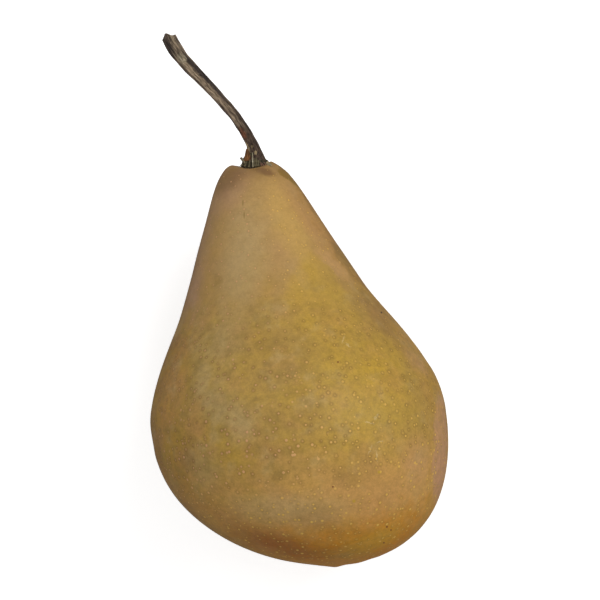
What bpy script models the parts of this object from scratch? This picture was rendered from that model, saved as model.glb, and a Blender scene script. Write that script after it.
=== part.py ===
"""A pear that lies on its side: the fruit, its woody stem, its bract stubs and its dried calyx.

Metres, +Z up. The fruit's long axis lies along Y with the stem toward +Y. The origin is in the small
flat spot that the pear rests on, right below the middle of the belly's widest circle. Each piece is
turned as a simple round form first and then moved into its grown shape by a formula.
"""

import math

import bmesh
import bpy
from mathutils import Matrix, Vector

MM = 0.001
UP = Vector((0, 0, 1))

# The fruit: an outline turned round the long axis, then leaned, lobed and cut flat below.
BELLY_RADIUS = 34.75 * MM
BELLY_AT = 62.0 * MM  # from the stem end to the widest circle
REST_CUT = 1.7 * MM  # how deep the rest spot is cut into the belly
OVAL = 0.985  # height over width of each section
AXIS_HEIGHT = BELLY_RADIUS * OVAL - REST_CUT  # at the widest circle
NECK_DROOP = 0.07  # how steeply the axis falls toward the stem, as a pear on its side does
FRUIT_SIDES = 56
OUTLINE_SPLIT = 2  # mesh rings to each stretch of the outline

# Radius and distance from the stem end, from the dimple's floor along the neck to the belly, in mm.
NECK_OUTLINE = [
    (0.0, 1.9),
    (1.5, 1.7),
    (2.8, 0.9),
    (3.9, -0.35),
    (4.7, -0.75),
    (5.6, -0.35),
    (6.6, 0.45),
    (7.6, 1.5),
    (8.6, 2.8),
    (9.6, 4.5),
    (10.5, 6.3),
    (11.55, 8.6),
    (12.82, 11.5),
    (14.36, 15.0),
    (16.15, 19.0),
    (17.93, 23.0),
    (20.22, 28.0),
    (22.6, 33.0),
    (25.24, 37.5),
    (27.94, 42.0),
    (30.4, 46.5),
    (32.47, 51.0),
    (34.15, 56.0),
]
BASE_HEIGHT = 34.4 * MM  # from the widest circle to where the base would close without its basin
BASE_TURN = math.radians(62.0)  # the base is an even arc this far past the widest circle
BASE_STEPS = 10
# Radius and distance past the widest circle, from the round base over the basin's rim to its floor, in mm.
BASIN_OUTLINE = [
    (12.7, 32.0),
    (9.6, 33.05),
    (6.9, 33.8),
    (5.3, 34.15),
    (4.4, 33.8),
    (3.8, 32.9),
    (3.3, 31.8),
    (2.3, 30.8),
    (0.0, 30.4),
]

# How the sections' middles wander right of the axis.
NECK_MIDDLE = -0.05 * MM
# Distance from the stem end, reach along the axis and sway to the right, in mm.
SWAYS = [(40.0, 19.0, -0.72), (18.0, 6.0, -0.22)]
BELLY_MIDDLE = 0.41 * MM
BELLY_START = 52.0 * MM
BASE_LEAN = 7.4 * MM  # the blossom end lies this far right of the belly's middle

DIMPLE_SHIFT = 1.5 * MM  # the dimple's floor lies this far right of the neck's middle
DIMPLE_REACH = 6.0 * MM
STEM_END_REACH = 7.0 * MM
STEM_END_TILT = 0.14  # the left shoulder stands higher than the right one
STEM_END_SAG = 3.9 * MM  # the rim dips above and below the stem, by up to about a third of this
SAG_REACH = 4.7 * MM
BLOSSOM_TILT = 0.12  # the basin's rim stands higher on the left
BLOSSOM_REACH = 6.0 * MM

LOBES = 5
LOBE_HEIGHT = 0.10 * MM  # of the tallest one
LOBE_RADIUS = 5.5 * MM
LOBE_REACH = 3.2 * MM
LOBE_PHASE = math.radians(-64.0)
LOBE_BIAS = 0.45  # the others are lower by up to twice this share
TALLEST_LOBE = math.radians(-50.0)

# The stem. Its middle line runs through these points, in mm: right of the axis, past the stem end and
# above the axis.
STEM_LINE = [
    (1.2, -1.2, 0.0),
    (1.1, 0.8, 0.1),
    (1.55, 3.0, 0.4),
    (0.95, 5.9, 0.9),
    (-0.9, 10.9, 2.1),
    (-3.9, 16.3, 3.4),
    (-7.4, 21.7, 4.6),
    (-11.0, 27.2, 6.0),
    (-12.75, 31.0, 6.8),
    (-13.35, 33.1, 7.1),
]
STEM_RADII = [1.35, 2.8, 1.75, 1.42, 1.32, 1.34, 1.45, 1.62, 1.8, 1.75]
STEM_SPLIT = 4
STEM_SIDES = 22
STEM_RIDGES = 5
STEM_RIDGE_DEPTH = 0.10
STEM_TWIST = math.radians(2.4)  # for each millimetre past the stem end
COLLAR_LUMPS = 7
COLLAR_LUMP_DEPTH = 0.10
COLLAR_AT = 0.8 * MM
COLLAR_REACH = 1.4 * MM
# Knots and burrs: distance past the stem end in mm, angle round the stem in degrees, height and width
# in mm.
STEM_KNOTS = [
    (28.2, 60.0, 0.45, 1.3),
    (26.2, 275.0, 0.55, 0.8),
    (23.6, 265.0, 0.50, 0.9),
    (8.8, 80.0, 0.30, 1.2),
    (9.6, 255.0, 0.35, 0.7),
]
KNOT_SPREAD = math.radians(35.0)
# The broken end has a round knob left of its middle, and its edge is chipped back.
TIP_KNOB = 1.2 * MM
TIP_KNOB_AT = -0.2  # as a share of the radius
TIP_KNOB_WIDTH = 0.55
TIP_CHIP = 0.35 * MM

# The bracts' stubs: root and tip as on the stem's line, half width and half thickness at the root, in
# mm, and the share of the width that is gone at the tip.
BRACT_SCALE = ((-0.35, 1.5, 3.35), (0.0, 4.0, 2.4), 0.82, 0.25, 0.75)
BRACT_STUB = ((-1.15, 0.9, 2.5), (-1.85, 2.15, 2.8), 0.32, 0.32, 0.15)
BRACT_SIDES = 10
BRACT_RINGS = 5

# The calyx: a low cup on the basin's floor with five sepals, which open outward and curl back in at
# their tips. The sepals' line is given outward and out of the basin, in mm.
CALYX_MIDDLE = 6.35 * MM  # right of the axis
CALYX_GAP = 0.6 * MM
CUP_OUTLINE = [(0.0, 0.0), (1.3, 0.0), (1.9, 0.9), (1.7, 1.4), (1.1, 1.65), (0.0, 1.5)]
CUP_SIDES = 20
SEPALS = 5
SEPAL_LINE = [(1.0, 0.7), (1.8, 1.1), (2.25, 1.75), (2.35, 2.5), (1.9, 3.1)]
SEPAL_HALF_WIDTHS = [0.8, 1.0, 0.9, 0.65, 0.3]
SEPAL_HALF_THICKNESS = 0.36 * MM
SEPAL_SPLIT = 2
SEPAL_SIDES = 8


def clear_scene():
    for item in list(bpy.data.objects):
        bpy.data.objects.remove(item, do_unlink=True)


def plain_material(name, colour, roughness):
    material = bpy.data.materials.new(name)
    material.use_nodes = True
    surface = material.node_tree.nodes["Principled BSDF"]
    surface.inputs["Base Color"].default_value = (*colour, 1.0)
    surface.inputs["Roughness"].default_value = roughness
    surface.inputs["Metallic"].default_value = 0.0
    return material


def in_metres(rows):
    return [Vector(row) * MM for row in rows]


def curve_through(points, split):
    """Points of a smooth curve through the given ones, with this many steps to each stretch."""
    reach = [2 * points[0] - points[1], *points, 2 * points[-1] - points[-2]]
    curve = []
    for before, start, end, after in zip(reach, reach[1:], reach[2:], reach[3:]):
        slope = (end - before) / 2
        end_slope = (after - start) / 2
        for step in range(split):
            t = step / split
            turn = 3 * (end - start) - 2 * slope - end_slope
            swing = 2 * (start - end) + slope + end_slope
            curve.append(start + t * slope + t**2 * turn + t**3 * swing)
    curve.append(points[-1])
    return curve


def turned(profile, sides):
    """A closed solid spun round +Z from a profile of (radius, height) that starts and ends on the axis."""
    solid = bmesh.new()
    chain = [solid.verts.new((radius, 0.0, height)) for radius, height in profile]
    edges = [solid.edges.new(pair) for pair in zip(chain, chain[1:])]
    bmesh.ops.spin(
        solid,
        geom=chain + edges,
        cent=(0, 0, 0),
        axis=(0, 0, 1),
        angle=2 * math.pi,
        steps=sides,
        use_merge=True,
    )
    bmesh.ops.remove_doubles(solid, verts=solid.verts, dist=1e-6)
    return solid


def tube(rings, sides):
    """A closed tube of radius 1 whose height counts its rings, with flat ends of two rings each."""
    wall = [(1.0, float(ring)) for ring in range(rings)]
    return turned([(0.0, 0.0), (0.6, 0.0), *wall, (0.6, rings - 1.0), (0.0, rings - 1.0)], sides)


def add_object(name, solid, material, sharp_angle):
    """The solid as a smooth-shaded object, with edges sharper than the angle left sharp."""
    bmesh.ops.recalc_face_normals(solid, faces=solid.faces)
    if solid.calc_volume(signed=True) < 0:
        bmesh.ops.reverse_faces(solid, faces=solid.faces)
    mesh = bpy.data.meshes.new(name)
    solid.to_mesh(mesh)
    solid.free()
    mesh.shade_smooth()
    mesh.set_sharp_from_angle(angle=math.radians(sharp_angle))
    mesh.materials.append(material)
    item = bpy.data.objects.new(name, mesh)
    bpy.context.scene.collection.objects.link(item)
    return item


def fruit_outline():
    """Radius and distance from the stem end along the outline, from the dimple's floor to the basin's."""
    points = in_metres(NECK_OUTLINE)
    for step in range(BASE_STEPS + 1):
        turn = BASE_TURN * step / BASE_STEPS
        points.append(Vector((BELLY_RADIUS * math.cos(turn), BELLY_AT + BASE_HEIGHT * math.sin(turn))))
    points += [point + Vector((0.0, BELLY_AT)) for point in in_metres(BASIN_OUTLINE)]
    return curve_through(points, OUTLINE_SPLIT)


def axis_height(along):
    return AXIS_HEIGHT - NECK_DROOP * (BELLY_AT - along)


def section_middle(along):
    """How far right of the axis a section's middle lies."""
    sway = sum(far * MM * math.exp(-(((along / MM - at) / reach) ** 2)) for at, reach, far in SWAYS)
    rise = min(max((along - BELLY_START) / (BELLY_AT - BELLY_START), 0.0), 1.0)
    rise = rise * rise * (3 - 2 * rise)
    lean = BASE_LEAN * (max(along - BELLY_AT, 0.0) / BELLY_RADIUS) ** 2
    return NECK_MIDDLE + sway + (BELLY_MIDDLE - NECK_MIDDLE) * rise + lean


def fruit_skin(turned_point):
    """Where a point of the turned outline lies on the grown fruit.

    The angle is 0 on top and grows to the right.
    """
    x, z, along = turned_point
    middle = section_middle(along)
    radius = math.hypot(x, z)
    angle = math.atan2(x, z)
    if along < BELLY_AT:
        x += DIMPLE_SHIFT * max(0.0, 1.0 - radius / DIMPLE_REACH)
        along += STEM_END_TILT * x * math.exp(-((radius / STEM_END_REACH) ** 2))
        along += STEM_END_SAG * (z / SAG_REACH) ** 2 * math.exp(-((radius / SAG_REACH) ** 2))
    else:
        rim = math.exp(-(((radius - LOBE_RADIUS) / LOBE_REACH) ** 2))
        tall = 1.0 - LOBE_BIAS + LOBE_BIAS * math.cos(angle - TALLEST_LOBE)
        along += LOBE_HEIGHT * rim * tall * math.cos(LOBES * (angle - LOBE_PHASE))
        along -= BLOSSOM_TILT * x * math.exp(-((radius / BLOSSOM_REACH) ** 2))
    return Vector((x + middle, BELLY_AT - along, axis_height(along) + z * OVAL))


def cut_flat_below(solid):
    """The rest spot: what lies below the floor is cut off, and one flat face closes the cut."""
    everything = [*solid.verts, *solid.edges, *solid.faces]
    cut = bmesh.ops.bisect_plane(
        solid, geom=everything, plane_co=(0, 0, 0), plane_no=(0, 0, -1), clear_outer=True, dist=1e-7
    )
    border = [item for item in cut["geom_cut"] if isinstance(item, bmesh.types.BMEdge)]
    bmesh.ops.contextual_create(solid, geom=border)


def make_fruit(material):
    solid = turned(fruit_outline(), FRUIT_SIDES)
    for vert in solid.verts:
        vert.co = fruit_skin(vert.co)
    cut_flat_below(solid)
    return add_object("fruit", solid, material, sharp_angle=30.0)


def bend_tube(solid, line, above, skin):
    """Moves a tube's rings onto a line whose bends lie mostly in the plane below the direction above.

    skin(index, angle, share) tells how far a ring reaches beside the line, above it and ahead, at an
    angle of the ring and at a share of its radius.
    """
    for vert in solid.verts:
        x, y, height = vert.co
        index = round(height)
        forward = (line[min(index + 1, len(line) - 1)] - line[max(index - 1, 0)]).normalized()
        side = forward.cross(above).normalized()
        up = side.cross(forward)
        share = math.hypot(x, y)
        across, over, ahead = skin(index, math.atan2(y, x), share)
        vert.co = line[index] + share * (across * side + over * up) + ahead * forward


def knots_height(past_end, angle):
    """How far the knots and burrs lift the stem's skin at a place."""
    height = 0.0
    for knot_at, knot_angle, knot_height, width in STEM_KNOTS:
        turn = math.remainder(angle - math.radians(knot_angle), 2 * math.pi)
        away = ((past_end / MM - knot_at) / width) ** 2 + (turn / KNOT_SPREAD) ** 2
        height += knot_height * MM * math.exp(-away)
    return height


def make_stem(material):
    """Ridged wood that twists along its bent line, with a lumpy collar and a knobbed broken tip."""
    places = [Vector((*point, radius)) * MM for point, radius in zip(STEM_LINE, STEM_RADII)]
    places = curve_through(places, STEM_SPLIT)
    stem_end = Vector((0.0, BELLY_AT, axis_height(0.0)))
    line = [stem_end + place.to_3d() for place in places]

    def skin(index, angle, share):
        past_end = places[index].y
        collar = math.exp(-(((past_end - COLLAR_AT) / COLLAR_REACH) ** 2))
        turn = STEM_RIDGES * angle + STEM_TWIST * past_end / MM
        ridges = (1.0 - collar) * STEM_RIDGE_DEPTH * math.cos(turn)
        lumps = collar * COLLAR_LUMP_DEPTH * math.cos(COLLAR_LUMPS * angle)
        radius = places[index][3] * (1.0 + ridges + lumps) + knots_height(past_end, angle)
        broken = 0.0
        if index == len(line) - 1:
            knob = math.exp(-(((share * math.cos(angle) - TIP_KNOB_AT) / TIP_KNOB_WIDTH) ** 2))
            broken = TIP_KNOB * knob - TIP_CHIP
        return radius * math.cos(angle), radius * math.sin(angle), broken

    solid = tube(len(line), STEM_SIDES)
    bend_tube(solid, line, UP, skin)
    return add_object("stem", solid, material, sharp_angle=50.0)


def make_bract(name, bract, material):
    """What is left of a dried bract: a peg or scale, narrower at its tip."""
    root, tip, half_width, half_thickness, taper = bract
    stem_end = Vector((0.0, BELLY_AT, axis_height(0.0)))
    start, end = (stem_end + point for point in in_metres((root, tip)))
    line = [start.lerp(end, ring / (BRACT_RINGS - 1)) for ring in range(BRACT_RINGS)]

    def skin(index, angle, share):
        slim = 1.0 - taper * (index / (BRACT_RINGS - 1)) ** 1.5
        across = half_width * MM * slim * math.cos(angle)
        return across, half_thickness * MM * max(slim, 0.7) * math.sin(angle), 0.0

    solid = tube(BRACT_RINGS, BRACT_SIDES)
    bend_tube(solid, line, UP, skin)
    return add_object(name, solid, material, sharp_angle=50.0)


def make_sepal(number, material):
    """One sepal of a calyx that looks up along +Z."""
    rows = zip(SEPAL_LINE, SEPAL_HALF_WIDTHS)
    places = [Vector((outward, 0.0, rise, half)) * MM for (outward, rise), half in rows]
    places = curve_through(places, SEPAL_SPLIT)
    line = [place.to_3d() for place in places]

    def skin(index, angle, share):
        return SEPAL_HALF_THICKNESS * math.cos(angle), places[index][3] * math.sin(angle), 0.0

    solid = tube(len(line), SEPAL_SIDES)
    bend_tube(solid, line, Vector((0, 1, 0)), skin)
    turn = Matrix.Rotation(2 * math.pi * number / SEPALS, 3, "Z")
    bmesh.ops.rotate(solid, cent=(0, 0, 0), matrix=turn, verts=solid.verts)
    return add_object(f"sepal_{number}", solid, material, sharp_angle=50.0)


def make_calyx(material):
    """The cup joined with its sepals and turned to look out of the basin."""
    sepals = bpy.data.collections.new("sepals")
    for number in range(SEPALS):
        sepal = make_sepal(number, material)
        bpy.context.scene.collection.objects.unlink(sepal)
        sepals.objects.link(sepal)
    calyx = add_object("calyx", turned(in_metres(CUP_OUTLINE), CUP_SIDES), material, sharp_angle=50.0)
    union = calyx.modifiers.new("sepals", "BOOLEAN")
    union.operation = "UNION"
    union.operand_type = "COLLECTION"
    union.collection = sepals
    graph = bpy.context.evaluated_depsgraph_get()
    joined = bpy.data.meshes.new_from_object(calyx.evaluated_get(graph))
    calyx.modifiers.clear()
    calyx.data = joined
    for sepal in list(sepals.objects):
        bpy.data.objects.remove(sepal, do_unlink=True)
    basin_floor = BELLY_AT + BASIN_OUTLINE[-1][1] * MM
    calyx.location = (CALYX_MIDDLE, BELLY_AT - basin_floor - CALYX_GAP, axis_height(basin_floor))
    calyx.rotation_euler = (math.radians(90.0), 0.0, 0.0)
    return calyx


clear_scene()
make_fruit(plain_material("pear_skin", (0.33, 0.22, 0.08), 0.5))
make_stem(plain_material("stem_wood", (0.07, 0.045, 0.03), 0.8))
make_bract("bract_scale", BRACT_SCALE, plain_material("dry_bract", (0.22, 0.10, 0.03), 0.8))
make_bract("bract_stub", BRACT_STUB, plain_material("grey_bract", (0.16, 0.13, 0.09), 0.85))
make_calyx(plain_material("dry_calyx", (0.05, 0.035, 0.025), 0.9))
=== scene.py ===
"""The looks of a pear that lies on its side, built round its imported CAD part.

Metres, +Z up, the fruit's long axis along Y with the stem toward +Y, as in the CAD part. The forms
follow the same named sizes and formulas as the CAD part, with finer steps and the small relief that the
solids leave out. Patterns are laid out in millimetres, so their sizes are real ones.
"""

import math

import bmesh
import bpy
from mathutils import Matrix, Vector, noise


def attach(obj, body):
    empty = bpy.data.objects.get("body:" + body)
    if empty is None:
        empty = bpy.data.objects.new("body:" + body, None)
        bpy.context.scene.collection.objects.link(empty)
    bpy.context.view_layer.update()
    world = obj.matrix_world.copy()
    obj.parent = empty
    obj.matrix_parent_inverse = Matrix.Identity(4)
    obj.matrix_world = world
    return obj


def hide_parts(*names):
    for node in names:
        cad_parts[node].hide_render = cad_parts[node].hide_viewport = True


MM = 0.001
UP = Vector((0, 0, 1))

# The fruit's form, as in the CAD part, but with the dimple closed up to the stem's collar. An outline's
# points are (radius, distance) in mm, the neck's from the stem end, the basin's from the widest circle.
BELLY_RADIUS = 34.75 * MM
BELLY_AT = 62.0 * MM  # from the stem end to the widest circle
REST_CUT = 1.7 * MM
OVAL = 0.985
AXIS_HEIGHT = BELLY_RADIUS * OVAL - REST_CUT  # at the widest circle
NECK_DROOP = 0.07  # how steeply the axis falls toward the stem
NECK_OUTLINE = [
    (0.0, 0.6),
    (1.5, 0.4),
    (2.8, -0.1),
    (3.9, -0.5),
    (4.7, -0.72),
    (5.6, -0.35),
    (6.6, 0.45),
    (7.6, 1.5),
    (8.6, 2.8),
    (9.6, 4.5),
    (10.5, 6.3),
    (11.55, 8.6),
    (12.82, 11.5),
    (14.36, 15.0),
    (16.15, 19.0),
    (17.93, 23.0),
    (20.22, 28.0),
    (22.6, 33.0),
    (25.24, 37.5),
    (27.94, 42.0),
    (30.4, 46.5),
    (32.47, 51.0),
    (34.15, 56.0),
]
BASE_HEIGHT = 34.4 * MM
BASE_TURN = math.radians(62.0)
BASE_STEPS = 10
BASIN_OUTLINE = [
    (12.7, 32.0),
    (9.6, 33.05),
    (6.9, 33.8),
    (5.3, 34.15),
    (4.4, 33.8),
    (3.8, 32.9),
    (3.3, 31.8),
    (2.3, 30.8),
    (0.0, 30.4),
]
NECK_MIDDLE = -0.05 * MM
SWAYS = [(40.0, 19.0, -0.72), (18.0, 6.0, -0.22)]  # where, over what length and how far right, in mm
BELLY_MIDDLE = 0.41 * MM
BELLY_START = 52.0 * MM
BASE_LEAN = 7.4 * MM
DIMPLE_SHIFT = 1.5 * MM
DIMPLE_REACH = 6.0 * MM
STEM_END_REACH = 7.0 * MM
STEM_END_TILT = 0.14
STEM_END_SAG = 3.9 * MM
SAG_REACH = 4.7 * MM
BLOSSOM_TILT = 0.12
BLOSSOM_REACH = 6.0 * MM
LOBES = 5
LOBE_HEIGHT = 0.10 * MM
LOBE_RADIUS = 5.5 * MM
LOBE_REACH = 3.2 * MM
LOBE_PHASE = math.radians(-64.0)
LOBE_BIAS = 0.45
TALLEST_LOBE = math.radians(-50.0)

# The fine skin: how closely it is split, and the shallow dents that give its sheen an uneven edge.
SKIN_SIDES = 288
SKIN_SPLIT = 7
SKIN_SET_IN = 0.03 * MM
DENTS = [(13.0 * MM, 0.20 * MM), (5.0 * MM, 0.05 * MM)]  # size and depth

# The stem, as in the CAD part. Its line runs from the stem end: right, ahead and up, in mm.
STEM_LINE = [
    (1.2, -1.2, 0.0),
    (1.1, 0.8, 0.1),
    (1.55, 3.0, 0.4),
    (0.95, 5.9, 0.9),
    (-0.9, 10.9, 2.1),
    (-3.9, 16.3, 3.4),
    (-7.4, 21.7, 4.6),
    (-11.0, 27.2, 6.0),
    (-12.75, 31.0, 6.8),
    (-13.35, 33.1, 7.1),
]
STEM_RADII = [1.35, 2.8, 1.75, 1.42, 1.32, 1.34, 1.45, 1.62, 1.8, 1.75]
STEM_RIDGES = 5
STEM_RIDGE_DEPTH = 0.10
STEM_TWIST = math.radians(2.4)
COLLAR_LUMPS = 7
COLLAR_LUMP_DEPTH = 0.10
COLLAR_AT = 0.8 * MM
COLLAR_REACH = 1.4 * MM
# Knots and burrs: how far ahead in mm, the angle round the stem in degrees, height and width in mm.
STEM_KNOTS = [
    (28.2, 60.0, 0.45, 1.3),
    (26.2, 275.0, 0.55, 0.8),
    (23.6, 265.0, 0.50, 0.9),
    (8.8, 80.0, 0.30, 1.2),
    (9.6, 255.0, 0.35, 0.7),
]
KNOT_SPREAD = math.radians(35.0)
TIP_KNOB = 1.2 * MM
TIP_KNOB_AT = -0.2
TIP_KNOB_WIDTH = 0.55
TIP_CHIP = 0.35 * MM

# The fine stem.
STEM_SPLIT = 14
STEM_SIDES = 96
FIBRE_DEPTH = 0.16 * MM
FIBRE_LENGTH = 7.0  # how much longer than wide the fibres are
DENT_DEPTH = 0.28 * MM
DENT_SIZE = 2.2 * MM
DENT_SHIFT = 0.1  # the share of its depth that the dented wood is set in by
TIP_SET_IN = 0.05 * MM  # keeps the broken tip inside the solid's reach

# The fleshy collar round the stem's foot, which fills the dimple. Its line is given as the stem's is.
COLLAR_LINE = [
    (1.1, -1.5, 0.3),
    (1.1, -0.6, 0.2),
    (1.0, 0.3, 0.2),
    (1.0, 1.1, 0.2),
    (1.2, 2.0, 0.3),
    (1.4, 2.9, 0.4),
]
COLLAR_HALF_WIDTHS = [3.0, 3.45, 3.4, 2.7, 2.0, 1.7]
COLLAR_HALF_HEIGHTS = [4.2, 4.3, 3.4, 2.6, 2.0, 1.7]
COLLAR_SPLIT = 6
COLLAR_SIDES = 120
COLLAR_STRIPS = 17
COLLAR_STRIP_DEPTH = 0.07
COLLAR_LUMPINESS = 0.1

# The bracts, as in the CAD part but rooted in the collar: root and tip as on the stem's line, half width
# and half thickness at the root, in mm, and the share of the width that is gone at the tip.
BRACT_SCALE = ((-0.4, 1.1, 2.7), (0.0, 4.0, 2.4), 0.82, 0.25, 0.75)
BRACT_STUB = ((-0.9, 0.5, 2.2), (-1.85, 2.15, 2.8), 0.32, 0.32, 0.1)
BRACT_SIDES = 20
BRACT_RINGS = 17
# Thin scales and flecks on the collar, in the same terms.
GREEN_SCALES = [
    ((1.02, -0.45, 4.5), (1.43, 1.45, 2.9), 0.19, 0.12, 0.5),
    ((1.48, -0.52, 4.5), (1.76, 1.5, 2.85), 0.22, 0.12, 0.5),
    ((1.94, -0.62, 4.5), (2.04, 1.0, 2.9), 0.22, 0.12, 0.6),
    ((-0.3, -0.45, 4.2), (0.2, 1.3, 2.9), 0.22, 0.12, 0.6),
    ((-1.3, -0.1, 3.5), (-0.5, 1.1, 2.6), 0.25, 0.12, 0.6),
    ((-2.2, 0.2, 2.1), (-1.1, 1.1, 2.0), 0.28, 0.12, 0.6),
]
PALE_SCALES = [
    ((0.61, -0.55, 4.6), (0.85, 1.3, 3.25), 0.14, 0.10, 0.0),
    ((0.85, 1.2, 3.25), (1.12, 2.9, 2.6), 0.15, 0.10, 0.8),
]
PINK_FLECKS = [
    ((2.67, -0.62, 4.6), (2.45, 0.2, 3.4), 0.15, 0.12, 0.6),
    ((3.12, -0.72, 4.8), (2.78, 0.05, 3.3), 0.16, 0.12, 0.6),
    ((3.67, -0.6, 4.4), (3.31, 0.1, 2.9), 0.16, 0.12, 0.6),
]
TAN_FLAKES = [
    ((3.8, -0.3, 3.7), (5.0, -1.02, 4.35), 0.34, 0.10, 0.3),
    ((4.1, 0.1, 3.0), (4.9, -0.7, 3.6), 0.25, 0.10, 0.3),
]

# The calyx, as in the CAD part, with finer steps and the dried stamens inside it.
CALYX_MIDDLE = 6.35 * MM
CALYX_GAP = 0.6 * MM
CUP_OUTLINE = [(0.0, 0.0), (1.3, 0.0), (1.9, 0.9), (1.7, 1.4), (1.1, 1.65), (0.0, 1.5)]
CUP_SIDES = 48
SEPALS = 5
SEPAL_LINE = [(1.0, 0.7), (1.8, 1.1), (2.25, 1.75), (2.35, 2.5), (1.9, 3.1)]
SEPAL_HALF_WIDTHS = [0.8, 1.0, 0.9, 0.65, 0.3]
SEPAL_HALF_THICKNESS = 0.32 * MM
SEPAL_SPLIT = 5
SEPAL_SIDES = 20
SEPAL_WAVE = 0.12 * MM
STAMENS = 16
STAMEN_FOOT_OUT = 0.9 * MM
STAMEN_FOOT_UP = 1.3 * MM
STAMEN_LEAN = 0.5 * MM
STAMEN_RISE = 0.8 * MM
STAMEN_RISE_RANGE = 0.3 * MM
STAMEN_RADIUS = 0.07 * MM
STAMEN_KNOB_RADIUS = 0.16 * MM
STAMEN_SPLIT = 4
STAMEN_SIDES = 8

# The view: straight down, rolled so that the fruit leans to the left at its stem.
CAMERA_OVER = (5.78 * MM, 28.62 * MM)
CAMERA_DISTANCE = 784.3 * MM  # from the fruit's axis
CAMERA_ROLL = math.radians(-10.5)
CAMERA_LENS = 200.0
SENSOR_WIDTH = 36.0

# The studio's soft lights: name, place in metres, power in watts and colour. All face the fruit's middle.
SOFTBOXES = [
    ("key_softbox", (0.45, 0.35, 0.75), 2.5, (1.0, 1.0, 1.0)),
    ("right_softbox", (0.75, 0.1, 0.45), 1.2, (1.0, 0.99, 0.97)),
    ("left_softbox", (-0.45, 0.5, 0.55), 1.1, (0.97, 0.98, 1.0)),
    ("front_softbox", (0.1, -0.75, 0.45), 0.45, (1.0, 1.0, 1.0)),
]
SOFTBOX_SIZE = 0.5
LIT_PLACE = Vector((0, 0.02, 0.03))
SURROUND_STRENGTH = 0.36
FLOOR_HALF_WIDTH = 2.0
FLOOR_GLOW = 0.6


def display(red, green, blue):
    """A colour given as it shows on a screen, from 0 to 255, as the linear values that nodes use."""
    colour = []
    for share in (red / 255, green / 255, blue / 255):
        colour.append(share / 12.92 if share <= 0.04045 else ((share + 0.055) / 1.055) ** 2.4)
    return (*colour, 1.0)


NECK_TAN = display(190, 150, 92)
NECK_GOLD = display(208, 166, 88)
OLIVE_GOLD = display(186, 148, 72)
BASE_GOLD = display(212, 162, 88)
BASE_BROWN = display(210, 138, 20)
LIMB_MAUVE = display(190, 148, 112)
LEFT_TAN = display(184, 132, 56)
RIGHT_GOLD = display(200, 150, 62)
YELLOW_GOLD = display(202, 162, 54)
DARK_OLIVE = display(138, 112, 52)
GREY_GREEN = display(172, 147, 84)
# A pale tone of the skin that is also a painted sheen: left of the middle it paints the soft reflection of
# the light.
PALE_HAZE_AND_SHEEN = display(198, 170, 116)
PINK_TAN = display(204, 150, 92)
RUSSET_PINK = display(206, 154, 114)
PALE_PINK = display(212, 164, 108)
GREY_BROWN = display(160, 122, 70)
# Painted shade: a dark brown laid on the skin at its rims and round the stem's foot where shade falls, and
# in a painted shadow of the stem.
PAINTED_SHADE_BROWN = display(126, 88, 56)
SHOULDER_OLIVE = display(146, 112, 44)
RED_BROWN = display(158, 88, 30)
DOT_PINK = display(222, 168, 116)
DOT_GOLD = display(234, 188, 88)
DOT_RING = display(132, 99, 44)
SPECK_RED = display(110, 40, 25)
SPECK_DARK = display(70, 50, 35)
SCUFF = display(232, 208, 150)

WOOD_DARK = display(52, 42, 42)
WOOD_UMBER = display(76, 57, 46)
WOOD_BROWN = display(88, 72, 62)
WOOD_TAN = display(168, 147, 121)
WOOD_GREY = display(124, 110, 86)
WOOD_RED = display(134, 80, 54)
WOOD_PALE = display(196, 180, 150)
COLLAR_DARK = display(60, 52, 38)
COLLAR_OLIVE = display(100, 90, 64)
SCALE_GREEN = display(152, 140, 104)
BRACT_BROWN = display(112, 74, 40)
BRACT_ORANGE = display(156, 104, 58)
BRACT_GREY = display(176, 162, 126)
BRACT_PALE = display(234, 228, 202)
FLECK_BROWN = display(140, 98, 76)
FLECK_PINK = display(204, 164, 138)
FLAKE_TAN = display(196, 172, 128)
CALYX_DARK = display(58, 42, 32)
CALYX_TAN = display(122, 98, 70)

# The floor as the camera sees it and as it lights the fruit.
FLOOR_SEEN = display(250, 250, 250)
FLOOR_BOUNCE = display(150, 150, 150)


def in_metres(rows):
    return [Vector(row) * MM for row in rows]


def curve_through(points, split):
    """Points of a smooth curve through the given ones, with this many steps to each stretch."""
    reach = [2 * points[0] - points[1], *points, 2 * points[-1] - points[-2]]
    curve = []
    for before, start, end, after in zip(reach, reach[1:], reach[2:], reach[3:]):
        slope = (end - before) / 2
        end_slope = (after - start) / 2
        for step in range(split):
            t = step / split
            turn = 3 * (end - start) - 2 * slope - end_slope
            swing = 2 * (start - end) + slope + end_slope
            curve.append(start + t * slope + t**2 * turn + t**3 * swing)
    curve.append(points[-1])
    return curve


def turned(profile, sides):
    """A closed solid spun round +Z from a (radius, height) profile that starts and ends on the axis."""
    solid = bmesh.new()
    chain = [solid.verts.new((radius, 0.0, height)) for radius, height in profile]
    edges = [solid.edges.new(pair) for pair in zip(chain, chain[1:])]
    bmesh.ops.spin(
        solid,
        geom=chain + edges,
        cent=(0, 0, 0),
        axis=(0, 0, 1),
        angle=2 * math.pi,
        steps=sides,
        use_merge=True,
    )
    bmesh.ops.remove_doubles(solid, verts=solid.verts, dist=1e-6)
    return solid


def tube(rings, sides):
    """A closed tube of radius 1 whose height counts its rings, with rows of vertices across its ends."""
    wall = [(1.0, float(ring)) for ring in range(rings)]
    foot = [(radius, 0.0) for radius in (0.0, 0.5, 0.85)]
    top = [(radius, rings - 1.0) for radius in (0.85, 0.5, 0.0)]
    return turned([*foot, *wall, *top], sides)


def face_outward(solid):
    bmesh.ops.recalc_face_normals(solid, faces=solid.faces)
    if solid.calc_volume(signed=True) < 0:
        bmesh.ops.reverse_faces(solid, faces=solid.faces)


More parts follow.
